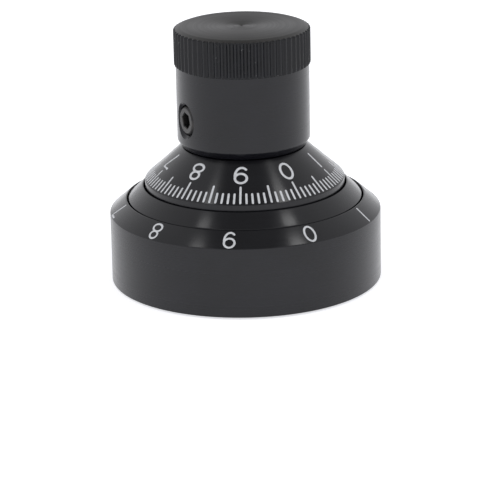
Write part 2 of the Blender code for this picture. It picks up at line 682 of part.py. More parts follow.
def build_set_screws():
    """Each bears on the control's shaft, so its inner end stands just clear of the shaft's size."""
    inner_end = SHAFT_RADIUS + SEAT
    outer_end = BARREL_RADIUS - SET_SCREW_RECESS
    for number, degrees in enumerate(SET_SCREW_ANGLES):
        name = f"set_screw_{number + 1}"
        screw = turned(name, [
            (0.0, outer_end),
            (SET_SCREW_RADIUS - SET_SCREW_EDGE, outer_end),
            (SET_SCREW_RADIUS, outer_end - SET_SCREW_EDGE),
            (SET_SCREW_RADIUS, inner_end + SET_SCREW_TIP),
            (SET_SCREW_RADIUS - SET_SCREW_TIP, inner_end),
            (0.0, inner_end),
        ], parts, steel, 24)
        screw.matrix_world = radial_frame(degrees, SET_SCREW_HEIGHT)
        across_corners = SET_SCREW_SOCKET / math.sqrt(3.0)
        points = [(0.0, outer_end + PAST), (across_corners, outer_end + PAST),
                  (across_corners, outer_end - SET_SCREW_SOCKET_DEPTH),
                  (0.0, outer_end - SET_SCREW_SOCKET_DEPTH)]
        socket = turned(f"cut_socket_{number + 1}", points, cutters, None, 6)
        socket.matrix_world = radial_frame(degrees, SET_SCREW_HEIGHT)
        hide_cutter(socket)
        cut(screw, socket)
        screw.parent = knob_axis


# ---------------------------------------------------------------- build
def shade_round_pieces():
    """Smooth shading on the round faces, with the corners between faces kept sharp."""
    bpy.context.view_layer.update()
    graph = bpy.context.evaluated_depsgraph_get()
    for piece in [thing for thing in parts.objects if thing.type == "MESH"]:
        mesh = bpy.data.meshes.new_from_object(piece.evaluated_get(graph))
        mesh.name = piece.name
        mesh.shade_smooth()
        mesh.set_sharp_from_angle(angle=SHARP_ANGLE)
        piece.modifiers.clear()
        piece.data = mesh


def joint_empty(name, location):
    """An empty on a joint's axis, which the moving pieces hang from."""
    empty = bpy.data.objects.new(name, None)
    empty.location = location
    parts.objects.link(empty)
    return empty


clear_scene()
parts = new_collection("turns_counting_dial")
cutters = new_collection("cutters")

black_anodised = new_material("black_anodised_aluminium", (0.02, 0.02, 0.021), 0.42, 0.55)
zinc = new_material("zinc_plated_steel", (0.62, 0.64, 0.66), 0.32, 1.0)
dark_zinc = new_material("black_zinc_plate", (0.06, 0.06, 0.065), 0.5, 0.8)
steel = new_material("black_steel", (0.08, 0.08, 0.085), 0.38, 0.9)
brass = new_material("brass", (0.72, 0.52, 0.22), 0.3, 1.0)
bronze = new_material("sintered_bronze", (0.5, 0.32, 0.17), 0.55, 1.0)
acetal = new_material("acetal", (0.85, 0.84, 0.8), 0.45, 0.0)

knob_axis = joint_empty("knob_axis", (0.0, 0.0, 0.0))
turns_axis = joint_empty("turns_axis", (0.0, 0.0, 0.0))
wobble_axis = joint_empty("wobble_axis", (ECCENTRICITY, 0.0, 0.0))

build_base()
build_pillars()
build_index_ring()
build_turns_dial()
build_gears()
build_drive_sleeve()
build_inner_dial()
build_knob()
build_set_screws()
shade_round_pieces()
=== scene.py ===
# %% [markdown]
# A turns-counting dial, made to be looked at. The frame that is loaded first holds the working
# model: every piece at its true size, and the bodies that turn. This lesson builds a finer skin over
# the pieces that show, and gives each finish its own nodes. Sizes below are in millimetres, times MM.

# %% Load the frame
import math

import bmesh
import bpy
from mathutils import Matrix, Vector


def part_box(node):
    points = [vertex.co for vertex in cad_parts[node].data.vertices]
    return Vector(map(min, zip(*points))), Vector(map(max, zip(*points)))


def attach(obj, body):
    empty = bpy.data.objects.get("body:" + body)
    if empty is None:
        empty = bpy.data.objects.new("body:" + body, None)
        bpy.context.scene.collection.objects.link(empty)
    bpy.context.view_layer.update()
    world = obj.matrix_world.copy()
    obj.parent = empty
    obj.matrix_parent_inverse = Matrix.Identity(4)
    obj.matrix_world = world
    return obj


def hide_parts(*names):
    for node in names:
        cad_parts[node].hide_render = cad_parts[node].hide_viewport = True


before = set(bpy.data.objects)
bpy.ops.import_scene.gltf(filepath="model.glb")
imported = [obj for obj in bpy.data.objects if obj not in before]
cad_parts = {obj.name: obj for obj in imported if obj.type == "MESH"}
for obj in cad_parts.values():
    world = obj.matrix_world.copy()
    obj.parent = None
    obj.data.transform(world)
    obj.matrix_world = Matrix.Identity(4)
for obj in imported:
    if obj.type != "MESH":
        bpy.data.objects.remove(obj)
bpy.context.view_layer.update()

MM = 0.001
ORIGIN = (0.0, 0.0, 0.0)

# %% [markdown]
# Sizes. The outside of each dial can be read from the box of its node, so the skin can't drift from
# the working model. The edges between a cylinder and a cone don't show in a box, so they are named.

# %% Sizes
OUTER_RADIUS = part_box("turns_dial")[1].x
DIAL_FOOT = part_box("turns_dial")[0].z
TURNS_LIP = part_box("turns_dial")[1].z
KNOB_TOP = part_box("knob")[1].z
KNOB_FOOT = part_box("knob")[0].z
SKIRT_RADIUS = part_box("inner_dial")[1].x
SKIRT_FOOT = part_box("inner_dial")[0].z
SKIRT_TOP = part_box("inner_dial")[1].z
INDEX_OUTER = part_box("index_ring")[1].x
INDEX_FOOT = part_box("index_ring")[0].z
INDEX_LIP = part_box("index_ring")[1].z

CYLINDER_TOP = 12.1 * MM
TURNS_FOOT_CHAMFER = 0.4 * MM
TURNS_BORE = 20.08 * MM
TURNS_LAND = 0.2 * MM
COUNTERBORE = 21.1 * MM
RING_SHOULDER = 9.32 * MM
INDEX_BORE = 17.2 * MM
INDEX_LAND = 0.2 * MM
INDEX_WEB_TOP = 11.3 * MM
INDEX_WEB_DEPTH = 1.7 * MM
BOSS_BORE = 6.07 * MM
BOSS_RADIUS = 7.77 * MM
BOSS_TOP = 15.0 * MM
SKIRT_RIM = 17.65 * MM
SKIRT_SHOULDER = 10.5 * MM
BARREL_RADIUS = 11.2 * MM
BARREL_FOOT = 24.7 * MM
FOOT_RADIUS = 10.4 * MM
KNURL_RADIUS = 11.46 * MM
KNURL_FOOT = 37.4 * MM
BEVEL_WIDTH = 1.1 * MM
BEVEL_DROP = 0.4 * MM
SLEEVE_BORE = 4.92 * MM
SLEEVE_SEAT_TOP = 36.42 * MM

# how far each piece's corners are rounded
TURNS_CORNER = 0.14 * MM
INDEX_CORNER = 0.12 * MM
SKIRT_CORNER = 0.1 * MM
KNOB_CORNER = 0.12 * MM
SET_SCREW_CORNER = 0.08 * MM
PLATE_CORNER = 0.15 * MM
SCREW_CORNER = 0.05 * MM
print("dial", round(OUTER_RADIUS / MM, 2), "mm radius,", round(KNOB_TOP / MM, 2), "mm high")

# %% [markdown]
# Turning. Each dial was cut on a lathe, so each is a circle that is extruded and scaled from one edge
# of its outline to the next. A screw or spin of the outline would do the same, but stepping the circle
# keeps even columns of vertices, which the flutes of the knob need later. Real corners are never
# sharp: the outline's corners are rounded first, so that they catch a thin line of light.

# %% Outline and turning helpers
LONGEST_ARC = 0.45


def rounded(outline, radius, steps=3):
    """The outline with each corner replaced by a short arc; the two ends stay as they are."""
    points = [outline[0]]
    for before, corner, after in zip(outline, outline[1:], outline[2:]):
        here = Vector(corner)
        back = Vector(before) - here
        ahead = Vector(after) - here
        reach = min(radius, back.length * LONGEST_ARC, ahead.length * LONGEST_ARC)
        start = here + back.normalized() * reach
        stop = here + ahead.normalized() * reach
        for step in range(steps + 1):
            share = step / steps
            low = start.lerp(here, share)
            high = here.lerp(stop, share)
            points.append(tuple(low.lerp(high, share)))
    points.append(outline[-1])
    return points


def deselect_objects():
    for thing in bpy.context.selected_objects:
        thing.select_set(False)


def make_active(thing):
    deselect_objects()
    thing.select_set(True)
    bpy.context.view_layer.objects.active = thing


def select_vertices(thing, wanted):
    """In edit mode, selects the vertices that pass a test of index and place."""
    shape = bmesh.from_edit_mesh(thing.data)
    for vertex in shape.verts:
        vertex.select_set(bool(wanted(vertex.index, vertex.co)))
    shape.select_flush_mode()
    bmesh.update_edit_mesh(thing.data)


def extrude_ring(radius_now, radius_next, rise):
    """Extrudes the selected circle upwards and then scales it to the next radius."""
    bpy.ops.mesh.extrude_region_move(TRANSFORM_OT_translate={"value": (0.0, 0.0, rise)})
    share = radius_next / radius_now
    if abs(share - 1.0) > 1e-9:
        bpy.ops.transform.resize(value=(share, share, 1.0), center_override=ORIGIN)


def finish_shading(thing, degrees=28.0):
    make_active(thing)
    bpy.ops.object.shade_smooth_by_angle(angle=math.radians(degrees))


def turned(name, outline, segments=256, solid=False):
    """A turned piece. A ring's outline closes on its start; a solid one starts and ends in a disc."""
    deselect_objects()
    radius, height = outline[0]
    bpy.ops.mesh.primitive_circle_add(vertices=segments, radius=radius, location=(0.0, 0.0, height),
                                      fill_type="NGON" if solid else "NOTHING")
    piece = bpy.context.active_object
    piece.name = name
    bpy.ops.object.transform_apply(location=True, rotation=True, scale=True)
    bpy.ops.object.mode_set(mode="EDIT")
    bpy.ops.mesh.select_mode(type="FACE" if solid else "VERT")
    bpy.ops.mesh.select_all(action="SELECT")
    for following in outline[1:]:
        extrude_ring(radius, following[0], following[1] - height)
        radius, height = following
    if not solid:
        last = len(outline) * segments - segments
        select_vertices(piece, lambda index, place: index < segments or index >= last)
        bpy.ops.mesh.bridge_edge_loops()
    bpy.ops.mesh.select_mode(type="VERT")
    bpy.ops.mesh.select_all(action="SELECT")
    bpy.ops.mesh.normals_make_consistent(inside=False)
    bpy.ops.object.mode_set(mode="OBJECT")
    return piece


def cut_away(piece, cutter):
    """Cuts one piece with another and removes the cutter."""
    make_active(piece)
    modifier = piece.modifiers.new("cut", "BOOLEAN")
    modifier.object = cutter
    modifier.operation = "DIFFERENCE"
    modifier.solver = "EXACT"
    bpy.ops.object.modifier_apply(modifier=modifier.name)
    bpy.data.objects.remove(cutter)


def place(piece, matrix):
    """Moves a finished shape, and leaves its object at the origin."""
    make_active(piece)
    piece.matrix_world = matrix
    bpy.context.view_layer.update()
    bpy.ops.object.transform_apply(location=True, rotation=True, scale=True)


def tell(piece):
    triangles = sum(len(face.vertices) - 2 for face in piece.data.polygons)
    print(f"{piece.name}: {len(piece.data.vertices)} vertices, {triangles} triangles")


print("helpers: rounded, turned, cut_away, place")

# %% [markdown]
# Finishes. Every finish is a small network of nodes on object coordinates. The black anodised parts
# were turned before they were anodised, so a fine ring pattern runs round the axis: noise that is read
# from the distance to the axis and the height, and from nothing else, is the same all the way round,
# just as a tool mark is. The dye is a little uneven, which a slow noise gives.

# %% Node helpers
def new_finish(name):
    material = bpy.data.materials.new(name)
    material.use_nodes = True
    tree = material.node_tree
    shader = tree.nodes["Principled BSDF"]
    return material, tree, shader


def node(tree, kind, **settings):
    made = tree.nodes.new(kind)
    for key, value in settings.items():
        setattr(made, key, value)
    return made


def math_node(tree, operation, first, second=None):
    made = node(tree, "ShaderNodeMath", operation=operation)
    for socket, value in zip(made.inputs, (first, second)):
        if value is None:
            continue
        if isinstance(value, (int, float)):
            socket.default_value = value
        else:
            tree.links.new(value, socket)
    return made.outputs[0]


def ring_coordinates(tree, stretch=1.0):
    """A vector of distance from the axis and height, the same all the way round a turned piece."""
    place_now = node(tree, "ShaderNodeTexCoord").outputs["Object"]
    split = node(tree, "ShaderNodeSeparateXYZ")
    tree.links.new(place_now, split.inputs[0])
    across = math_node(tree, "MULTIPLY", split.outputs["X"], split.outputs["X"])
    along = math_node(tree, "MULTIPLY", split.outputs["Y"], split.outputs["Y"])
    distance = math_node(tree, "SQRT", math_node(tree, "ADD", across, along))
    joined = node(tree, "ShaderNodeCombineXYZ")
    tree.links.new(distance, joined.inputs["X"])
    tree.links.new(math_node(tree, "MULTIPLY", split.outputs["Z"], stretch), joined.inputs["Z"])
    return joined.outputs[0], place_now


def noise(tree, vector, scale, detail=2.0, roughness=0.5):
    made = node(tree, "ShaderNodeTexNoise")
    made.inputs["Scale"].default_value = scale
    made.inputs["Detail"].default_value = detail
    made.inputs["Roughness"].default_value = roughness
    tree.links.new(vector, made.inputs["Vector"])
    return made.outputs["Fac"]


def spread(tree, value, low=0.0, high=1.0, from_low=0.3, from_high=0.7):
    """Maps a noise's usual range to the range that a socket needs."""
    made = node(tree, "ShaderNodeMapRange")
    made.inputs["From Min"].default_value = from_low
    made.inputs["From Max"].default_value = from_high
    made.inputs["To Min"].default_value = low
    made.inputs["To Max"].default_value = high
    tree.links.new(value, made.inputs["Value"])
    return made.outputs[0]


def blend_colours(tree, share, first, second):
    made = node(tree, "ShaderNodeMix", data_type="RGBA")
    made.inputs["A"].default_value = (*first, 1.0)
    made.inputs["B"].default_value = (*second, 1.0)
    tree.links.new(share, made.inputs["Factor"])
    return made.outputs["Result"]


def bump(tree, shader, height, distance, strength=1.0):
    made = node(tree, "ShaderNodeBump")
    made.inputs["Strength"].default_value = strength
    made.inputs["Distance"].default_value = distance
    tree.links.new(height, made.inputs["Height"])
    tree.links.new(made.outputs[0], shader.inputs["Normal"])


def mixed(tree, first, second, share):
    """A sum of two values, where the first one's share is given."""
    return math_node(tree, "ADD", math_node(tree, "MULTIPLY", first, share),
                     math_node(tree, "MULTIPLY", second, round(1.0 - share, 3)))


print("node helpers are ready")

# %% [markdown]
# Anodised aluminium looks black because a dye lies under a clear oxide skin, so it is a dark base with
# a plain gloss and not a metallic one. A metallic shader could be used, but it would tint what it
# mirrors. The finish is anisotropic because the tool marks all run round the axis: a lamp is then drawn
# out into a streak along the slope. The sides, the cones and the knob's end face were cut with
# different tools, so they differ in roughness. The end face's base is also painted lighter and warmer
# than the sides': painted light, standing in for the light that falls on the top face.

# %% Black anodised aluminium
METAL_SKIN_IOR = 1.43
MARKS_RUN_ROUND = 0.25
RINGS_IN_A_WAVE = 9.0
FINE_SHARE = 0.7
GRAIN_SHARE = 0.25
CLOUD_SHARE = 0.6


def anodised(name, dark, light, rough, groove, anisotropy, ring_scale=5200.0):
    """Dyed, sealed and turned: an almost black base under a clear skin, with tool marks round it."""
    material, tree, shader = new_finish(name)
    rings, place_now = ring_coordinates(tree)
    fine = noise(tree, rings, scale=ring_scale, detail=3.0, roughness=0.6)
    slow = noise(tree, rings, scale=ring_scale / RINGS_IN_A_WAVE)
    cloud = noise(tree, place_now, scale=160.0, detail=4.0, roughness=0.6)
    grain = noise(tree, place_now, scale=9000.0)
    tone = mixed(tree, cloud, fine, CLOUD_SHARE)
    tree.links.new(blend_colours(tree, spread(tree, tone), dark, light), shader.inputs["Base Color"])
    mark = mixed(tree, fine, slow, FINE_SHARE)
    tree.links.new(spread(tree, mark, *rough), shader.inputs["Roughness"])
    height = math_node(tree, "ADD", mark, math_node(tree, "MULTIPLY", grain, GRAIN_SHARE))
    bump(tree, shader, height, groove)
    shader.inputs["IOR"].default_value = METAL_SKIN_IOR
    shader.inputs["Anisotropic"].default_value = anisotropy
    shader.inputs["Anisotropic Rotation"].default_value = MARKS_RUN_ROUND
    tangent = node(tree, "ShaderNodeTangent", direction_type="RADIAL", axis="Z")
    tree.links.new(tangent.outputs[0], shader.inputs["Tangent"])
    return material


SIDE_FINISH = anodised("anodised_side", dark=(0.0016, 0.0016, 0.0028), light=(0.0062, 0.0062, 0.0094),
                       rough=(0.2, 0.31), groove=0.0009 * MM, anisotropy=0.3)
CONE_FINISH = anodised("anodised_cone", dark=(0.0018, 0.0018, 0.0028), light=(0.006, 0.006, 0.0078),
                       rough=(0.18, 0.22), groove=0.0004 * MM, anisotropy=0.75)
# painted light: the end face's base is lighter and warmer than the sides', for the light on the top face
FACE_FINISH_PAINTED_LIGHTER = anodised("anodised_end_face_painted_light", dark=(0.008, 0.0072, 0.0062), light=(0.018, 0.0163, 0.0142),
                       rough=(0.4, 0.5), groove=0.002 * MM, anisotropy=0.5, ring_scale=3600.0)
print("black finishes:", SIDE_FINISH.name, CONE_FINISH.name, FACE_FINISH_PAINTED_LIGHTER.name)

# %% [markdown]
# The flutes of the knob are cut with a coarser tool and hold a little dust, so their finish is rougher
# and has sparse pale specks where a fine noise passes a high threshold.

# %% Fluted band's finish
FLUTE_SKIN_IOR = 1.39
DUST = (0.16, 0.16, 0.155, 1.0)


def fluted_finish():
    material, tree, shader = new_finish("anodised_flutes")
    place_now = node(tree, "ShaderNodeTexCoord").outputs["Object"]
    cloud = noise(tree, place_now, scale=500.0, detail=4.0, roughness=0.6)
    speck = spread(tree, noise(tree, place_now, scale=2600.0, detail=1.0), from_low=0.76, from_high=0.8)
    dyed = blend_colours(tree, spread(tree, cloud), (0.0022, 0.0024, 0.0036), (0.0066, 0.007, 0.0096))
    dusty = node(tree, "ShaderNodeMix", data_type="RGBA")
    dusty.inputs["B"].default_value = DUST
    tree.links.new(speck, dusty.inputs["Factor"])
    tree.links.new(dyed, dusty.inputs["A"])
    tree.links.new(dusty.outputs["Result"], shader.inputs["Base Color"])
    tree.links.new(spread(tree, cloud, 0.36, 0.48), shader.inputs["Roughness"])
    bump(tree, shader, noise(tree, place_now, scale=5000.0, detail=3.0, roughness=0.6), 0.006 * MM)
    shader.inputs["IOR"].default_value = FLUTE_SKIN_IOR
    return material


FLUTE_FINISH = fluted_finish()
print("fluted band:", FLUTE_FINISH.name)

# %% [markdown]
# The marks are engraved and filled with off-white paint that has dried slightly uneven and has taken
# some dirt, so its colour wanders a little and its surface is matte.

# %% Marking paint
def paint_finish():
    material, tree, shader = new_finish("marking_paint")
    place_now = node(tree, "ShaderNodeTexCoord").outputs["Object"]
    cloud = noise(tree, place_now, scale=1500.0, detail=3.0, roughness=0.6)
    tree.links.new(blend_colours(tree, spread(tree, cloud), (0.54, 0.55, 0.565), (0.7, 0.71, 0.725)),
                   shader.inputs["Base Color"])
    tree.links.new(spread(tree, cloud, 0.5, 0.65), shader.inputs["Roughness"])
    bump(tree, shader, noise(tree, place_now, scale=6000.0), 0.004 * MM)
    return material


PAINT = paint_finish()
print("marks:", PAINT.name)

# %% [markdown]
# The working pieces inside are brass, bronze, steel, zinc plate and acetal. One function makes them
# all from a colour, a roughness and how strong their turning marks are; each still gets its own cloud
# of tarnish or wax, at the scale that suits it.

# %% Finishes of the working pieces
def worked(name, colour, stained, metallic, rough, cloud_scale, groove=0.002 * MM, ring_scale=4200.0):
    material, tree, shader = new_finish(name)
    rings, place_now = ring_coordinates(tree)
    lines = noise(tree, rings, scale=ring_scale, detail=3.0, roughness=0.6)
    cloud = noise(tree, place_now, scale=cloud_scale, detail=4.0, roughness=0.6)
    tree.links.new(blend_colours(tree, spread(tree, cloud), colour, stained), shader.inputs["Base Color"])
    tree.links.new(spread(tree, mixed(tree, lines, cloud, 0.5), *rough), shader.inputs["Roughness"])
    bump(tree, shader, lines, groove)
    shader.inputs["Metallic"].default_value = metallic
    return material


BRASS = worked("turned_brass", colour=(0.73, 0.53, 0.24), stained=(0.55, 0.36, 0.14), metallic=1.0,
               rough=(0.2, 0.34), cloud_scale=400.0)
BRONZE = worked("oiled_bronze", colour=(0.5, 0.31, 0.16), stained=(0.33, 0.19, 0.1), metallic=1.0,
                rough=(0.45, 0.62), cloud_scale=1600.0, groove=0.004 * MM)
BLACK_STEEL = worked("black_oxide_steel", colour=(0.022, 0.022, 0.024), stained=(0.05, 0.047, 0.044),
                     metallic=0.6, rough=(0.3, 0.42), cloud_scale=900.0)
ZINC = worked("zinc_plate", colour=(0.6, 0.62, 0.64), stained=(0.47, 0.49, 0.5), metallic=1.0,
              rough=(0.26, 0.4), cloud_scale=700.0)
BLACK_ZINC = worked("black_zinc_plate", colour=(0.03, 0.03, 0.033), stained=(0.055, 0.053, 0.05),
                    metallic=0.35, rough=(0.36, 0.5), cloud_scale=300.0, ring_scale=2600.0)
ACETAL = worked("acetal", colour=(0.8, 0.79, 0.75), stained=(0.74, 0.72, 0.66), metallic=0.0,
                rough=(0.35, 0.48), cloud_scale=300.0)
print("finishes:", len(bpy.data.materials))


def dress(piece, *finishes):
    piece.data.materials.clear()
    for finish in finishes:
        piece.data.materials.append(finish)


# %% [markdown]
# The outer dial is a cup with a cylinder and one cone. It counts whole turns. Its foot stands just
# clear of the panel, because it turns. It could be a cylinder with a bevelled edge, but a turned
# outline gives its hollow inside, with the shoulder for the ring gear, in the same stroke.

# %% Outer dial
CONE_FACES_UP = 0.3


def share_finishes(piece, chooser):
    """Gives each face the material slot that a test of its middle and normal picks."""
    for face in piece.data.polygons:
        face.material_index = chooser(face.center, face.normal)


def side_or_cone(middle, normal):
    """Slot 1, the cones' finish, for every face that looks upwards."""
    return 1 if normal.z > CONE_FACES_UP else 0


turns_outline = [
    (COUNTERBORE + TURNS_FOOT_CHAMFER, DIAL_FOOT),
    (OUTER_RADIUS, DIAL_FOOT),
    (OUTER_RADIUS, CYLINDER_TOP),
    (TURNS_BORE + TURNS_LAND, TURNS_LIP),
    (TURNS_BORE, TURNS_LIP),
    (TURNS_BORE, RING_SHOULDER),
    (COUNTERBORE, RING_SHOULDER),
    (COUNTERBORE, DIAL_FOOT + TURNS_FOOT_CHAMFER),
]
outer_dial = turned("outer_dial", rounded(turns_outline, TURNS_CORNER))
dress(outer_dial, SIDE_FINISH, CONE_FINISH)
share_finishes(outer_dial, side_or_cone)
finish_shading(outer_dial)
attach(outer_dial, "turns_group")
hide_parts("turns_dial")
tell(outer_dial)

# %% [markdown]
# The index ring stands still between the two dials, and it carries the line that both are read
# against. Below its cone it is a web with a boss for the hub bush, and four screws go down through
# the web into the pillars. The holes could be drawn into the faces, but a cutter that is turned to the
# hole's own outline and taken away with a boolean gives the countersink too.

# %% Screw places and holes
PILLAR_CIRCLE = sum(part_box("pillar_screw_1"), Vector()).xy.length / 2
PILLAR_ANGLES = (45.0, 135.0, 225.0, 315.0)
# a screw is the radius of its thread and of its head
INDEX_SCREW = (0.8 * MM, 1.5 * MM)
PILLAR_SCREW = (1.0 * MM, 1.9 * MM)
SEAT = 0.12 * MM
CUTTER_PAST = 1.0 * MM
SCREW_SEGMENTS = 48


def around(radius, degrees):
    """A point round the axis, the angle counted from -Y towards +X."""
    turn = math.radians(degrees)
    return Vector((radius * math.sin(turn), -radius * math.cos(turn), 0.0))


def sunk_hole(thread, head, face, depth, side):
    """A countersunk hole's cutter on the axis; side is +1 where the screw goes in from above."""
    outline = [
        (head + SEAT, face + side * CUTTER_PAST),
        (head + SEAT, face),
        (thread + SEAT, face - side * (head - thread)),
        (thread + SEAT, face - side * (depth + CUTTER_PAST)),
    ]
    return turned("hole_cutter", outline, SCREW_SEGMENTS, solid=True)


print("pillars on a circle of", round(PILLAR_CIRCLE / MM, 2), "mm radius")

# %% Index ring
index_outline = [
    (BOSS_BORE, INDEX_FOOT),
    (INDEX_OUTER, INDEX_FOOT),
    (INDEX_OUTER, TURNS_LIP),
    (INDEX_BORE + INDEX_LAND, INDEX_LIP),
    (INDEX_BORE, INDEX_LIP),
    (INDEX_BORE, INDEX_WEB_TOP),
    (BOSS_RADIUS, INDEX_WEB_TOP),
    (BOSS_RADIUS, BOSS_TOP),
    (BOSS_BORE, BOSS_TOP),
]
index_body = turned("index_body", rounded(index_outline, INDEX_CORNER))
for degrees in PILLAR_ANGLES:
    hole = sunk_hole(*INDEX_SCREW, face=INDEX_WEB_TOP, depth=INDEX_WEB_DEPTH, side=1.0)
    place(hole, Matrix.Translation(around(PILLAR_CIRCLE, degrees)))
    cut_away(index_body, hole)
dress(index_body, SIDE_FINISH, CONE_FINISH)
share_finishes(index_body, side_or_cone)
finish_shading(index_body)
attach(index_body, "root")
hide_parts("index_ring")
tell(index_body)

# %% [markdown]
# The inner dial is a thin cone on the knob. A short upright rim under its edge makes the dark line
# that parts it from the index ring. It could be a lathe-turned shell given a thickness by a modifier,
# but its web is thicker than its wall, so the outline of both is drawn.

# %% Inner dial
SKIRT_WALL = 1.4 * MM
SKIRT_WEB = 2.0 * MM
SKIRT_WEB_FOOT = SKIRT_TOP - SKIRT_WEB
skirt_run = SKIRT_RADIUS - SKIRT_SHOULDER
skirt_rise = SKIRT_TOP - SKIRT_RIM
slant = math.hypot(skirt_run, skirt_rise)
cone_inside = (SKIRT_RADIUS - (SKIRT_WEB_FOOT - SKIRT_RIM) * skirt_run / skirt_rise
               - SKIRT_WALL * slant / skirt_rise)
skirt_outline = [
    (SLEEVE_BORE, SKIRT_WEB_FOOT),
    (cone_inside, SKIRT_WEB_FOOT),
    (SKIRT_RADIUS - SKIRT_WALL, SKIRT_RIM - SKIRT_WALL * (slant - skirt_rise) / skirt_run),
    (SKIRT_RADIUS - SKIRT_WALL, SKIRT_FOOT),
    (SKIRT_RADIUS, SKIRT_FOOT),
    (SKIRT_RADIUS, SKIRT_RIM),
    (SKIRT_SHOULDER, SKIRT_TOP),
    (SLEEVE_BORE, SKIRT_TOP),
]
inner_body = turned("inner_dial_body", rounded(skirt_outline, SKIRT_CORNER))

# %% Holes and finish of the inner dial
DIAL_SCREW_CIRCLE = sum(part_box("dial_screw_1"), Vector()).xy.length / 2
DIAL_SCREW_ANGLES = (11.0, 131.0, 251.0)
DIAL_SCREW_HOLE = 1.12 * MM
TAP_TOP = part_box("dial_screw_1")[1].z + 0.3 * MM


def drill_dial_screws(piece, low, high):
    """Three straight holes for the screws that hold the inner dial to the knob."""
    for degrees in DIAL_SCREW_ANGLES:
        drill = turned("hole_cutter", [(DIAL_SCREW_HOLE, low), (DIAL_SCREW_HOLE, high)],
                       SCREW_SEGMENTS, solid=True)
        place(drill, Matrix.Translation(around(DIAL_SCREW_CIRCLE, degrees)))
        cut_away(piece, drill)


drill_dial_screws(inner_body, SKIRT_WEB_FOOT - CUTTER_PAST, SKIRT_TOP + CUTTER_PAST)
dress(inner_body, SIDE_FINISH, CONE_FINISH)
share_finishes(inner_body, side_or_cone)
finish_shading(inner_body)
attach(inner_body, "knob_group")
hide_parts("inner_dial")
tell(inner_body)

# %% [markdown]
# The knob is one turned piece. Its columns of vertices are eight to a flute, so the flutes are made by
# drawing the right columns in towards the axis. Rows near each end of the band let the crests round
# off, as they do where the knurling tool runs out. Cutting 64 flutes with booleans would also work, but
# it would take longer and leave no rows to shape the ends with.

# %% Outline of the knob's barrel
FLUTES = 64
COLUMNS_PER_FLUTE = 8
COLUMNS = FLUTES * COLUMNS_PER_FLUTE
BARREL_EDGE = 0.7 * MM
BARREL_ROWS = 16

lower_outline = rounded([
    (SLEEVE_BORE, SLEEVE_SEAT_TOP),
    (SLEEVE_BORE, KNOB_FOOT),
    (FOOT_RADIUS, KNOB_FOOT),
    (BARREL_RADIUS, BARREL_FOOT),
    (BARREL_RADIUS, BARREL_FOOT + BARREL_EDGE),
], KNOB_CORNER)
barrel_start = BARREL_FOOT + BARREL_EDGE
barrel_rows = [(BARREL_RADIUS, barrel_start + (KNURL_FOOT - barrel_start) * row / BARREL_ROWS)
               for row in range(1, BARREL_ROWS + 1)]
print("barrel rows:", len(lower_outline) + len(barrel_rows))

# %% Outline of the fluted band and the top
FLUTE_DEPTH = 0.38 * MM
# how far each of a flute's columns goes in, as a share of the depth there
FLUTE_SHAPE = (1.0, 0.94, 0.6, 0.12, 0.0, 0.12, 0.6, 0.94)
# rows above the band's foot: in from its radius, up from its foot, share of the flute's full depth
BAND_START = (
    (0.14 * MM, 0.02 * MM, 0.45),
    (0.04 * MM, 0.1 * MM, 0.8),
    (0.0, 0.26 * MM, 1.0),
    (0.0, 0.6 * MM, 1.0),
)
# rows under the bevel: in from the band's radius, down from the bevel's edge, share of the full depth
BAND_STOP = (
    (0.0, 0.3 * MM, 1.0),
    (0.0, 0.06 * MM, 1.0),
    (0.06 * MM, 0.0, 0.9),
)
# where the flutes run out on the bevel: in from the band's radius, share of the full depth
BEVEL_FLUTES = ((0.2 * MM, 0.47), (0.38 * MM, 0.0))
BEVEL_PLAIN = 0.5 * MM
BEVEL_SOFT = 0.08 * MM
# the lathe's centre mark: radius, depth
CENTRE_MARK = ((0.34 * MM, 0.0), (0.26 * MM, 0.03 * MM), (0.1 * MM, 0.1 * MM))


def on_bevel(offset):
    """A point of the knob's top bevel, given how far in from the band's radius it is."""
    return KNURL_RADIUS - offset, KNOB_TOP - BEVEL_DROP * (1.0 - offset / BEVEL_WIDTH)


bevel_edge = KNOB_TOP - BEVEL_DROP
band_rows = ([(KNURL_RADIUS - inset, KNURL_FOOT + rise) for inset, rise, _ in BAND_START]
             + [(KNURL_RADIUS - inset, bevel_edge - drop) for inset, drop, _ in BAND_STOP]
             + [on_bevel(inset) for inset, _ in BEVEL_FLUTES])
row_depth = [row[-1] for row in BAND_START + BAND_STOP + BEVEL_FLUTES]
top_rows = ([on_bevel(BEVEL_PLAIN), on_bevel(BEVEL_WIDTH - BEVEL_SOFT),
             (KNURL_RADIUS - BEVEL_WIDTH - BEVEL_SOFT, KNOB_TOP), (0.6 * KNURL_RADIUS, KNOB_TOP)]
            + [(radius, KNOB_TOP - depth) for radius, depth in CENTRE_MARK])
knob_body = turned("knob_body", lower_outline + barrel_rows + band_rows + top_rows, COLUMNS, solid=True)

# %% Flutes
ROW_REACH = 0.004 * MM
BAND_ONLY = 0.9


def column_of(spot):
    """Which of a flute's columns of vertices a place round the knob belongs to."""
    turn = math.atan2(spot.x, spot.y) % (2 * math.pi)
    return round(turn / (2 * math.pi) * COLUMNS) % COLUMNS_PER_FLUTE


bpy.ops.object.mode_set(mode="EDIT")
for depth_share, (radius, height) in zip(row_depth, band_rows):
    for column, shape_share in enumerate(FLUTE_SHAPE):
        drop = FLUTE_DEPTH * depth_share * shape_share
        if drop == 0.0:
            continue
        select_vertices(knob_body, lambda index, spot: abs(spot.z - height) < ROW_REACH
                        and column_of(spot) == column and spot.xy.length > BAND_ONLY * radius)
        share = (radius - drop) / radius
        bpy.ops.transform.resize(value=(share, share, 1.0), center_override=ORIGIN)
bpy.ops.object.mode_set(mode="OBJECT")
tell(knob_body)

# %% [markdown]
# Two set screws hold the knob on the control's shaft. Each has a hexagon socket and sits just below
# the surface, in a hole with a countersunk mouth. The hole's cutter and the screw are both turned on
# the upright axis, then laid over into place, since an outline is easiest to draw there.

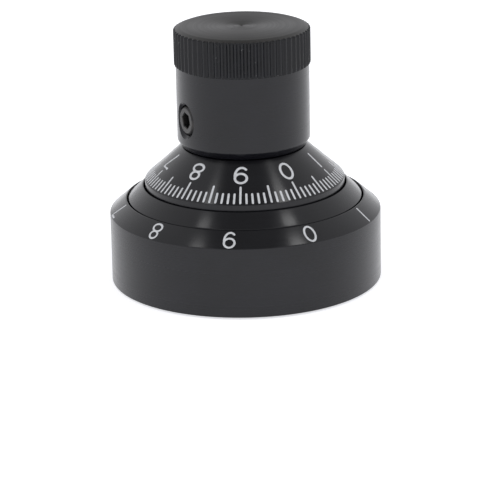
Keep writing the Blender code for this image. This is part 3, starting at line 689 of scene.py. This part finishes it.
# %% Set screw sizes
SET_SCREW_HEIGHT = 28.95 * MM
SET_SCREW_ANGLES = (-160.0, -70.0)
SET_SCREW_RADIUS = 2.41 * MM
SET_SCREW_INNER = 3.295 * MM
SET_SCREW_SINK = 0.3 * MM
SET_SCREW_OUTER = BARREL_RADIUS - SET_SCREW_SINK
SET_SCREW_CHAMFER = 0.3 * MM
SET_SCREW_POINT = 0.5 * MM
SET_SCREW_TURN = 17.0
END_RIM = 0.3 * MM
POINT_RIM = 0.4 * MM
SOCKET_CORNER = 2.4 * MM / math.sqrt(3.0)
SOCKET_DEPTH = 2.4 * MM
SOCKET_MOUTH = 0.12 * MM
SOCKET_FLARE = 0.5 * MM
HOLE_START = 3.2 * MM
HOLE_SEGMENTS = 64
MOUTH = 0.3 * MM


def outward(degrees, height):
    """A frame whose +Z points out of the knob's side."""
    out = around(1.0, degrees)
    side = Vector((0.0, 0.0, 1.0)).cross(out)
    turn = Matrix((side, out.cross(side), out)).transposed().to_4x4()
    return Matrix.Translation((0.0, 0.0, height)) @ turn


print("set screws at", SET_SCREW_ANGLES, "degrees")

# %% Set screws and their holes
hole_radius = SET_SCREW_RADIUS + SEAT
mouth_foot = BARREL_RADIUS - MOUTH - SET_SCREW_SINK
hole_outline = rounded([
    (hole_radius, HOLE_START),
    (hole_radius, mouth_foot),
    (hole_radius + MOUTH + CUTTER_PAST, mouth_foot + MOUTH + CUTTER_PAST),
], SET_SCREW_CORNER)
screw_outline = rounded([
    (SET_SCREW_RADIUS - SET_SCREW_POINT - POINT_RIM, SET_SCREW_INNER),
    (SET_SCREW_RADIUS - SET_SCREW_POINT, SET_SCREW_INNER),
    (SET_SCREW_RADIUS, SET_SCREW_INNER + SET_SCREW_POINT),
    (SET_SCREW_RADIUS, SET_SCREW_OUTER - SET_SCREW_CHAMFER),
    (SET_SCREW_RADIUS - SET_SCREW_CHAMFER, SET_SCREW_OUTER),
    (SET_SCREW_RADIUS - SET_SCREW_CHAMFER - END_RIM, SET_SCREW_OUTER),
], SET_SCREW_CORNER)
socket_outline = [
    (SOCKET_CORNER, SET_SCREW_OUTER - SOCKET_DEPTH),
    (SOCKET_CORNER, SET_SCREW_OUTER - SOCKET_MOUTH),
    (SOCKET_CORNER + SOCKET_FLARE, SET_SCREW_OUTER - SOCKET_MOUTH + SOCKET_FLARE),
]
for number, degrees in enumerate(SET_SCREW_ANGLES):
    cutter = turned("hole_cutter", hole_outline, HOLE_SEGMENTS, solid=True)
    place(cutter, outward(degrees, SET_SCREW_HEIGHT))
    cut_away(knob_body, cutter)

    screw = turned(f"set_screw_body_{number + 1}", screw_outline, HOLE_SEGMENTS, solid=True)
    cut_away(screw, turned("hole_cutter", socket_outline, 6, solid=True))
    place(screw, outward(degrees, SET_SCREW_HEIGHT)
          @ Matrix.Rotation(math.radians(SET_SCREW_TURN), 4, "Z"))
    dress(screw, BLACK_STEEL)
    finish_shading(screw, degrees=20.0)
    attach(screw, "knob_group")
    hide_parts(f"set_screw_{number + 1}")
    tell(screw)

# %% Last holes and finish of the knob
FACE_STARTS = 0.8
drill_dial_screws(knob_body, KNOB_FOOT - CUTTER_PAST, TAP_TOP)
dress(knob_body, SIDE_FINISH, FLUTE_FINISH, FACE_FINISH_PAINTED_LIGHTER)


def knob_finish(middle, normal):
    """Slot 2 is the end face's finish, 1 the fluted band's and 0 the barrel's."""
    if middle.z > KNOB_TOP - FACE_STARTS * BEVEL_DROP:
        return 2
    if middle.z > KNURL_FOOT:
        return 1
    return 0


share_finishes(knob_body, knob_finish)
finish_shading(knob_body, degrees=35.0)
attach(knob_body, "knob_group")
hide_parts("knob")
tell(knob_body)

# %% [markdown]
# Marks. The digits are single strokes, as an engraving machine cuts them with a round cutter. Each
# stroke is drawn flat as a chain of points on arcs and lines, given a round pen, pressed flat, and then
# laid on its cone. A font could be used, but its strokes change width and its corners are sharp.

# %% Digit strokes
CELL_WIDE = 2.0
CELL_HIGH = 3.0


def arc(middle_x, middle_y, wide, high, start, stop, steps=14):
    """Points on an ellipse, angles in degrees, anticlockwise from +X."""
    points = []
    for step in range(steps + 1):
        turn = math.radians(start + (stop - start) * step / steps)
        points.append((middle_x + wide * math.cos(turn), middle_y + high * math.sin(turn)))
    return points


def digit_strokes(digit):
    """Strokes on a cell from (-1, 0) to (1, 3), and whether each one closes on itself."""
    strokes = {
        0: [(arc(0.0, 1.5, 1.0, 1.5, 0, 345, 28), True)],
        1: [([(0.0, 0.0), (0.0, 3.0)], False)],
        2: [(arc(0.0, 2.05, 0.95, 0.95, 165, -35) + [(-1.0, 0.0), (1.0, 0.0)], False)],
        3: [(arc(0.0, 2.22, 0.85, 0.78, 160, -90) + arc(0.0, 0.72, 0.97, 0.72, 90, -160)[1:], False)],
        4: [([(0.5, 0.0), (0.5, 3.0), (-1.0, 0.85), (1.0, 0.85)], False)],
        5: [([(0.8, 3.0), (-0.7, 3.0), (-0.82, 1.62)] + arc(0.0, 0.95, 0.98, 0.95, 130, -155), False)],
        6: [(arc(0.0, 0.92, 0.97, 0.92, 0, 345, 24), True),
            (arc(0.12, 1.35, 1.09, 1.65, 182, 52), False)],
        7: [([(-0.95, 3.0), (0.95, 3.0), (-0.35, 0.0)], False)],
        8: [(arc(0.0, 2.25, 0.8, 0.75, -90, 255, 22), True),
            (arc(0.0, 0.75, 0.98, 0.75, 90, 435, 22), True)],
        9: [(arc(0.0, 2.08, 0.97, 0.92, 0, 345, 24), True),
            (arc(-0.12, 1.65, 1.09, 1.65, 2, -128), False)],
    }
    return strokes[digit]


print("strokes to a set of digits:", sum(len(digit_strokes(digit)) for digit in range(10)))

# %% [markdown]
# The pen. A stroke starts as one vertex that is extruded from point to point. Converted to a curve, it
# takes a bevel as its round section, and a smaller radius at its last points gives it round ends. Sharp
# corners of a stroke are softened first, since a cutter of this width leaves none.

# %% Pen
PAINT_RISE = 0.05 * MM
PAINT_SINK = 0.025 * MM
NEARLY_STRAIGHT = math.radians(140.0)
LAST_TAPER = 0.94
MERGE_WITHIN = 0.0005 * MM


def softened(points, reach):
    """The stroke with its sharp corners replaced by short arcs."""
    soft = [points[0]]
    for before, corner, after in zip(points, points[1:], points[2:]):
        back = Vector(before) - Vector(corner)
        ahead = Vector(after) - Vector(corner)
        if back.angle(ahead) > NEARLY_STRAIGHT:
            soft.append(corner)
        else:
            soft.extend(rounded([before, corner, after], reach, steps=5)[1:-1])
    soft.append(points[-1])
    return soft


def pen_stroke(points, closed, pen, end_steps=3):
    """A flat stroke with a round pen and round ends, as one closed mesh on the plane of z = 0."""
    points = softened(points, pen)
    tapers = []
    if not closed:
        first, last = Vector(points[0]), Vector(points[-1])
        lead = (first - Vector(points[1])).normalized() * pen
        tail = (last - Vector(points[-2])).normalized() * pen
        for step in range(end_steps, 0, -1):
            tapers.append(math.sin(LAST_TAPER * math.pi / 2 * step / end_steps))
        points = ([tuple(first + lead * share) for share in tapers] + points
                  + [tuple(last + tail * share) for share in reversed(tapers)])
    deselect_objects()
    bpy.ops.mesh.primitive_plane_add(size=1.0)
    stroke = bpy.context.active_object
    bpy.ops.object.mode_set(mode="EDIT")
    bpy.ops.mesh.merge(type="CENTER")
    bpy.ops.transform.translate(value=(points[0][0], points[0][1], 0.0))
    for here, there in zip(points, points[1:]):
        step = (there[0] - here[0], there[1] - here[1], 0.0)
        bpy.ops.mesh.extrude_region_move(TRANSFORM_OT_translate={"value": step})
    if closed:
        select_vertices(stroke, lambda index, spot: index in (0, len(points) - 1))
        bpy.ops.mesh.edge_face_add()
    bpy.ops.object.mode_set(mode="OBJECT")
    bpy.ops.object.convert(target="CURVE")
    curve = stroke.data
    curve.bevel_depth = pen
    curve.bevel_resolution = 2
    curve.use_fill_caps = not closed
    line = curve.splines[0].points
    for step, share in enumerate(tapers):
        width = math.sqrt(1.0 - share * share)
        line[step].radius = width
        line[len(line) - 1 - step].radius = width
    bpy.ops.object.convert(target="MESH")
    bpy.ops.object.mode_set(mode="EDIT")
    bpy.ops.mesh.select_all(action="SELECT")
    bpy.ops.mesh.remove_doubles(threshold=MERGE_WITHIN)
    bpy.ops.transform.resize(value=(1.0, 1.0, PAINT_RISE / pen), center_override=ORIGIN)
    bpy.ops.mesh.normals_make_consistent(inside=False)
    bpy.ops.object.mode_set(mode="OBJECT")
    return stroke


print("a stroke stands", round((PAINT_RISE - PAINT_SINK) / MM, 3), "mm proud")

# %% [markdown]
# Laying a stroke on a cone. Across the digit becomes an angle round the axis, up the digit becomes a
# distance along the slope, and thickness stays square to the slope. The digits' tops point outwards,
# because the scales are read from the far side, where the index line is.

# %% Laying marks on a cone
SKIRT_CONE = ((SKIRT_RADIUS, SKIRT_RIM), (SKIRT_SHOULDER, SKIRT_TOP))
INDEX_CONE = ((INDEX_OUTER, TURNS_LIP), (INDEX_BORE + INDEX_LAND, INDEX_LIP))
TURNS_CONE = ((OUTER_RADIUS, CYLINDER_TOP), (TURNS_BORE + TURNS_LAND, TURNS_LIP))


def lay_on(stroke, cone, degrees, outer_end):
    """Lays a flat stroke on a cone; outer_end is where its y = 0 falls, up the slope from the edge."""
    (edge, low), (inner, high) = cone
    slant = math.hypot(edge - inner, high - low)
    inwards = (edge - inner) / slant
    upwards = (high - low) / slant
    for vertex in stroke.data.vertices:
        along = outer_end - vertex.co.y
        lift = vertex.co.z - PAINT_SINK
        radius = edge - along * inwards
        spot = around(1.0, degrees - math.degrees(vertex.co.x / radius))
        vertex.co = spot * (radius + lift * upwards)
        vertex.co.z = low + along * upwards + lift * inwards


def joined(pieces, name):
    """Joins strokes into one piece of marks and gives it the paint."""
    make_active(pieces[0])
    for piece in pieces:
        piece.select_set(True)
    bpy.ops.object.join()
    marks = bpy.context.active_object
    marks.name = name
    dress(marks, PAINT)
    finish_shading(marks, degrees=50.0)
    tell(marks)
    return marks


def digits_on(cone, start, stop, wide, pen, angle_of):
    """All ten digits; start and stop are how far up the slope a digit's top and foot are."""
    laid = []
    across = (wide - 2 * pen) / CELL_WIDE
    along = (stop - start - 2 * pen) / CELL_HIGH
    for digit in range(10):
        for cell_points, closed in digit_strokes(digit):
            points = [(across * x, along * (y - CELL_HIGH)) for x, y in cell_points]
            stroke = pen_stroke(points, closed, pen)
            lay_on(stroke, cone, angle_of(digit), start + pen)
            laid.append(stroke)
    return laid


print("cones for marks:", len((SKIRT_CONE, INDEX_CONE, TURNS_CONE)))

# %% [markdown]
# The inner dial's scale has a hundred lines, every fifth one longer, and a digit at every tenth. One
# short and one long line are made, and the rest are copies turned round the axis. An array modifier
# could repeat them, but it can't leave every fifth place to a longer line.

# %% Inner dial's scale
SHOWN_READING = 0.431
LINE_PEN = 0.225 * MM
INNER_PEN = 0.265 * MM
LINE_FOOT = 0.2 * MM
SHORT_LINE = 2.36 * MM
LONG_LINE = 3.68 * MM
INNER_DIGITS = (4.02 * MM, 7.5 * MM)
INNER_DIGIT_WIDTH = 2.57 * MM
DIVISIONS = 100
LONG_EVERY = 5
FAR_SIDE = 180.0


def scale_line(cone, start, stop, pen):
    """One straight mark up a cone's slope, on the near side."""
    stroke = pen_stroke([(0.0, 0.0), (0.0, start - stop + 2 * pen)], False, pen, end_steps=2)
    lay_on(stroke, cone, 0.0, start + pen)
    return stroke


def inner_angle(reading):
    """Where a reading of the inner dial, in turns, stands when the index line shows SHOWN_READING."""
    return FAR_SIDE + (reading - SHOWN_READING) * 360.0


def copied(piece, degrees):
    """A copy with its own mesh, turned round the axis; angles run from -Y towards +X."""
    twin = piece.copy()
    twin.data = piece.data.copy()
    bpy.context.scene.collection.objects.link(twin)
    place(twin, Matrix.Rotation(math.radians(degrees), 4, "Z"))
    return twin


short_line = scale_line(SKIRT_CONE, LINE_FOOT, SHORT_LINE, LINE_PEN)
long_line = scale_line(SKIRT_CONE, LINE_FOOT, LONG_LINE, LINE_PEN)
lines = []
for division in range(DIVISIONS):
    pattern = long_line if division % LONG_EVERY == 0 else short_line
    lines.append(copied(pattern, inner_angle(division / DIVISIONS)))
bpy.data.objects.remove(short_line)
bpy.data.objects.remove(long_line)
inner_digits = digits_on(SKIRT_CONE, *INNER_DIGITS, INNER_DIGIT_WIDTH, INNER_PEN,
                         lambda digit: inner_angle(digit / 10))
inner_marks = joined(lines + inner_digits, "inner_dial_marks")
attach(inner_marks, "knob_group")

# %% [markdown]
# The outer dial has only its ten digits. Both scales run the same way, and the outer one goes a tenth
# of a turn for each turn of the knob.

# %% Outer dial's digits
SHOWN_TURNS = 4.43
DEGREES_A_DIGIT = 36.0
OUTER_PEN = 0.225 * MM
OUTER_DIGITS = (0.11 * MM, 3.39 * MM)
OUTER_DIGIT_WIDTH = 2.25 * MM
outer_digits = digits_on(TURNS_CONE, *OUTER_DIGITS, OUTER_DIGIT_WIDTH, OUTER_PEN,
                         lambda digit: FAR_SIDE + (digit - SHOWN_TURNS) * DEGREES_A_DIGIT)
outer_marks = joined(outer_digits, "outer_dial_marks")
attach(outer_marks, "turns_group")

# %% [markdown]
# The index line is one cut across the fixed ring, on the side that faces the reader.

# %% Index line
INDEX_LINE = (0.3 * MM, 3.2 * MM)
index_mark = joined([scale_line(INDEX_CONE, *INDEX_LINE, LINE_PEN)], "index_line")
place(index_mark, Matrix.Rotation(math.radians(FAR_SIDE), 4, "Z"))
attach(index_mark, "root")

# %% [markdown]
# The underside. The base plate is a turned disc that lies on the panel, with a hole for the bushing,
# a rim that the outer dial turns round, and four countersunk holes.

# %% Base plate
BASE_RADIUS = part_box("base_plate")[1].x
BASE_RIM_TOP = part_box("base_plate")[1].z
BASE_THICKNESS = 2.0 * MM
BASE_RIM_WALL = 1.9 * MM
BUSHING_HOLE = 4.8825 * MM
base_body = turned("base_body", rounded([
    (BUSHING_HOLE, BASE_THICKNESS),
    (BUSHING_HOLE, 0.0),
    (BASE_RADIUS, 0.0),
    (BASE_RADIUS, BASE_RIM_TOP),
    (BASE_RADIUS - BASE_RIM_WALL, BASE_RIM_TOP),
    (BASE_RADIUS - BASE_RIM_WALL, BASE_THICKNESS),
    (PILLAR_CIRCLE, BASE_THICKNESS),
], PLATE_CORNER))
for degrees in PILLAR_ANGLES:
    hole = sunk_hole(*PILLAR_SCREW, face=0.0, depth=BASE_THICKNESS, side=-1.0)
    place(hole, Matrix.Translation(around(PILLAR_CIRCLE, degrees)))
    cut_away(base_body, hole)
dress(base_body, BLACK_ZINC)
finish_shading(base_body)
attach(base_body, "root")
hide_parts("base_plate")
tell(base_body)

# %% [markdown]
# Eight small screws hold the pillars, four from below and four from above. Their heads sit just under
# the face, and each has a straight slot, which is a thin block taken away. Nobody lines up the slots of
# screws when tightening them, so each one stands at its own angle.

# %% Small countersunk screws
SCREW_SLOT = 0.5 * MM
SCREW_SLOT_DEPTH = 0.4 * MM
HEAD_MIDDLE = 0.3
HEAD_BLUNT = 0.06 * MM
TIP_CHAMFER = 0.3 * MM
SLOT_TURNS = (20.0, -35.0, 64.0, 5.0)


def countersunk(name, size, face, length, side, degrees, slot_turn):
    """A countersunk screw in its place; side is +1 where its head is on top."""
    thread, head = size
    outline = rounded([
        (HEAD_MIDDLE * head, face),
        (head - HEAD_BLUNT, face),
        (thread, face - side * (head - thread)),
        (thread, face - side * (length - TIP_CHAMFER)),
        (thread - TIP_CHAMFER, face - side * length),
    ], SCREW_CORNER)
    piece = turned(name, outline, SCREW_SEGMENTS, solid=True)
    deselect_objects()
    bpy.ops.mesh.primitive_cube_add(size=1.0, location=(0.0, 0.0, face),
                                    scale=(3 * head, SCREW_SLOT, 2 * SCREW_SLOT_DEPTH))
    slot = bpy.context.active_object
    bpy.ops.object.transform_apply(location=True, rotation=True, scale=True)
    cut_away(piece, slot)
    place(piece, Matrix.Translation(around(PILLAR_CIRCLE, degrees))
          @ Matrix.Rotation(math.radians(slot_turn), 4, "Z"))
    dress(piece, BLACK_STEEL)
    finish_shading(piece)
    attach(piece, "root")
    return piece


for number, (degrees, slot_turn) in enumerate(zip(PILLAR_ANGLES, SLOT_TURNS)):
    low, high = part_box(f"pillar_screw_{number + 1}")
    lower_screw = countersunk(f"pillar_screw_body_{number + 1}", PILLAR_SCREW, face=low.z,
                              length=high.z - low.z, side=-1.0, degrees=degrees, slot_turn=slot_turn)
    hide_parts(f"pillar_screw_{number + 1}")
    low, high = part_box(f"index_screw_{number + 1}")
    upper_screw = countersunk(f"index_screw_body_{number + 1}", INDEX_SCREW, face=high.z,
                              length=high.z - low.z, side=1.0, degrees=degrees, slot_turn=-slot_turn)
    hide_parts(f"index_screw_{number + 1}")
tell(upper_screw)

# %% [markdown]
# The pieces inside keep the working model's shapes. Each gets the finish of its own metal or plastic,
# so the dial can be taken apart and still look right.

# %% Finishes of the pieces inside
INSIDE = {
    "panel_nut": ZINC,
    "drive_sleeve": BRASS,
    "ring_gear": BRASS,
    "gear_bush": BRONZE,
    "hub_bush": BRONZE,
    "wobble_gear": ACETAL,
    "retaining_ring": BLACK_STEEL,
    "snap_ring": BLACK_STEEL,
    "thrust_washer": BLACK_STEEL,
}
INSIDE.update({f"pillar_{number + 1}": BLACK_STEEL for number in range(len(PILLAR_ANGLES))})
INSIDE.update({f"dial_screw_{number + 1}": BLACK_STEEL for number in range(len(DIAL_SCREW_ANGLES))})
for name, finish in INSIDE.items():
    dress(bpy.data.objects[name], finish)
print("dressed", len(INSIDE), "inside pieces")

# %% [markdown]
# The stage is a white sweep that is bright enough to leave no horizon. It lies a hair below the panel
# face, so that the two surfaces don't share a plane.

# %% Floor
COOL_WHITE = (1.0, 1.005, 1.035, 1.0)
SWEEP_WHITE = (0.85, 0.85, 0.85, 1.0)
SWEEP_ROUGHNESS = 0.9
SWEEP_GLOW = 0.62
SWEEP_SIZE = 8.0
SWEEP_DROP = 0.02 * MM
deselect_objects()
bpy.ops.mesh.primitive_plane_add(size=SWEEP_SIZE, location=(0.0, 0.0, -SWEEP_DROP))
floor = bpy.context.active_object
floor.name = "floor"
floor_finish, _, floor_shader = new_finish("white_sweep")
floor_shader.inputs["Base Color"].default_value = SWEEP_WHITE
floor_shader.inputs["Roughness"].default_value = SWEEP_ROUGHNESS
floor_shader.inputs["Emission Color"].default_value = COOL_WHITE
floor_shader.inputs["Emission Strength"].default_value = SWEEP_GLOW
dress(floor, floor_finish)
print("floor:", SWEEP_SIZE, "m wide")

# %% [markdown]
# The camera looks down a little, from the left of the middle, through a long lens, so that the dial's
# ellipses are shallow and its sides stay upright. It is aimed at the axis and then nudged by small
# turns, because the dial doesn't stand in the middle of the frame. A shift of the lens could do that
# too, but a turn keeps the perspective of a camera that simply points a little lower.

# %% Camera
AIM = Vector((0.0, 0.0, 25.3 * MM))
CAMERA_DISTANCE = 449.8 * MM
CAMERA_ELEVATION = math.radians(15.74)
CAMERA_AZIMUTH = math.radians(-8.3)
YAW = math.radians(0.08)
PITCH = math.radians(-2.53)
ROLL = math.radians(-1.2)
LENS_LENGTH = 191.87
SENSOR_WIDTH = 36.0


def seen_from(azimuth, elevation, distance):
    """A place at a bearing from the aim; azimuth 0 is in front and grows towards +X."""
    return AIM + distance * Vector((math.sin(azimuth) * math.cos(elevation),
                                    -math.cos(azimuth) * math.cos(elevation), math.sin(elevation)))


lens = bpy.data.cameras.new("camera")
lens.lens = LENS_LENGTH
lens.sensor_width = SENSOR_WIDTH
camera = bpy.data.objects.new("camera", lens)
bpy.context.scene.collection.objects.link(camera)
bpy.context.scene.camera = camera
stand = seen_from(CAMERA_AZIMUTH, CAMERA_ELEVATION, CAMERA_DISTANCE)
forward = (AIM - stand).normalized()
right = forward.cross(Vector((0.0, 0.0, 1.0))).normalized()
up = right.cross(forward)
forward, right = (forward * math.cos(YAW) + right * math.sin(YAW),
                  right * math.cos(YAW) - forward * math.sin(YAW))
forward, up = (forward * math.cos(PITCH) + up * math.sin(PITCH),
               up * math.cos(PITCH) - forward * math.sin(PITCH))
right, up = right * math.cos(ROLL) + up * math.sin(ROLL), up * math.cos(ROLL) - right * math.sin(ROLL)
camera.matrix_world = Matrix.Translation(stand) @ Matrix((right, up, -forward)).transposed().to_4x4()
print("camera stands", round(CAMERA_DISTANCE / MM), "mm away")

# %% [markdown]
# The dark metal shows almost nothing but what it mirrors, so the walls of the studio matter more than
# its lamps. They are white all round and dim overhead, and the dim part is a band that runs from front
# to back, as the gap between two large soft boxes is. The cones mirror that band in the middle and the
# soft boxes on either side, and two compact lamps at the band's edges make the streaks.

# %% Walls
WALL_LEVEL = 1.0
OVERHEAD_LEVEL = 0.36
SOFT_BOX_LEVEL = 0.8
# how far to one side, and how far up, a direction points where one level starts to give way
BAND_EDGE = (0.28, 0.38)
CLIMB = (0.1, 0.9)
world = bpy.data.worlds.new("studio")
bpy.context.scene.world = world
world.use_nodes = True
sky = world.node_tree
direction = node(sky, "ShaderNodeTexCoord").outputs["Generated"]
parts = node(sky, "ShaderNodeSeparateXYZ")
sky.links.new(direction, parts.inputs[0])
sideways = math_node(sky, "ADD", math_node(sky, "MULTIPLY", parts.outputs["X"], math.cos(CAMERA_AZIMUTH)),
                     math_node(sky, "MULTIPLY", parts.outputs["Y"], math.sin(CAMERA_AZIMUTH)))
overhead = spread(sky, math_node(sky, "ABSOLUTE", sideways), OVERHEAD_LEVEL, SOFT_BOX_LEVEL, *BAND_EDGE)
climb = spread(sky, parts.outputs["Z"], 0.0, 1.0, *CLIMB)
fall = math_node(sky, "MULTIPLY", climb, math_node(sky, "SUBTRACT", overhead, WALL_LEVEL))
sky.links.new(math_node(sky, "ADD", fall, WALL_LEVEL), sky.nodes["Background"].inputs["Strength"])
sky.nodes["Background"].inputs["Color"].default_value = COOL_WHITE
print("walls at", WALL_LEVEL, "and overhead at", OVERHEAD_LEVEL)

# %% Lamps
LAMP_DISTANCE = 0.6
# name, bearing from the camera, elevation, width in metres, power in watts
LAMPS = (
    ("left_lamp", -66.0, 60.0, 0.09, 0.09),
    ("right_lamp", 70.0, 60.0, 0.1, 0.16),
)
for name, bearing, elevation, across, power in LAMPS:
    lamp = bpy.data.lights.new(name, "AREA")
    lamp.shape = "DISK"
    lamp.size = across
    lamp.energy = power
    lit = bpy.data.objects.new(name, lamp)
    bpy.context.scene.collection.objects.link(lit)
    lit.location = seen_from(CAMERA_AZIMUTH + math.radians(bearing), math.radians(elevation), LAMP_DISTANCE)
    lit.rotation_euler = (AIM - lit.location).to_track_quat("-Z", "Y").to_euler()
    print(name, power, "W")
bpy.context.scene.view_settings.view_transform = "Standard"
